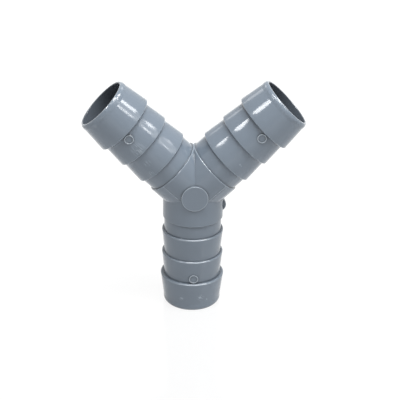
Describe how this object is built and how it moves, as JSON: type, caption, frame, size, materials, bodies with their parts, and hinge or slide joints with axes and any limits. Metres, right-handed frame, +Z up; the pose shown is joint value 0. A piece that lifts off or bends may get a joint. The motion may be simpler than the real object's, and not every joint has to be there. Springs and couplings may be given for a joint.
{
  "type": "tubing y connector",
  "caption": "Hollow barbed Y connector in grey plastic that splits one hose into a pair: a straight stem and a branch to either side, each with low barbs and a larger collar.",
  "frame": {"origin": "centre of the stem's end, on the floor", "axes": "+Z up the stem to the junction, +X towards the branch on the right, the round pad faces -Y"},
  "size_m": [0.1368, 0.0402, 0.1474],
  "materials": {
    "moulded_plastic": "semi-gloss as moulded, cool bluish grey"
  },
  "bodies": {
    "root": {"y_connector": "moulded_plastic"}
  },
  "joints": []
}
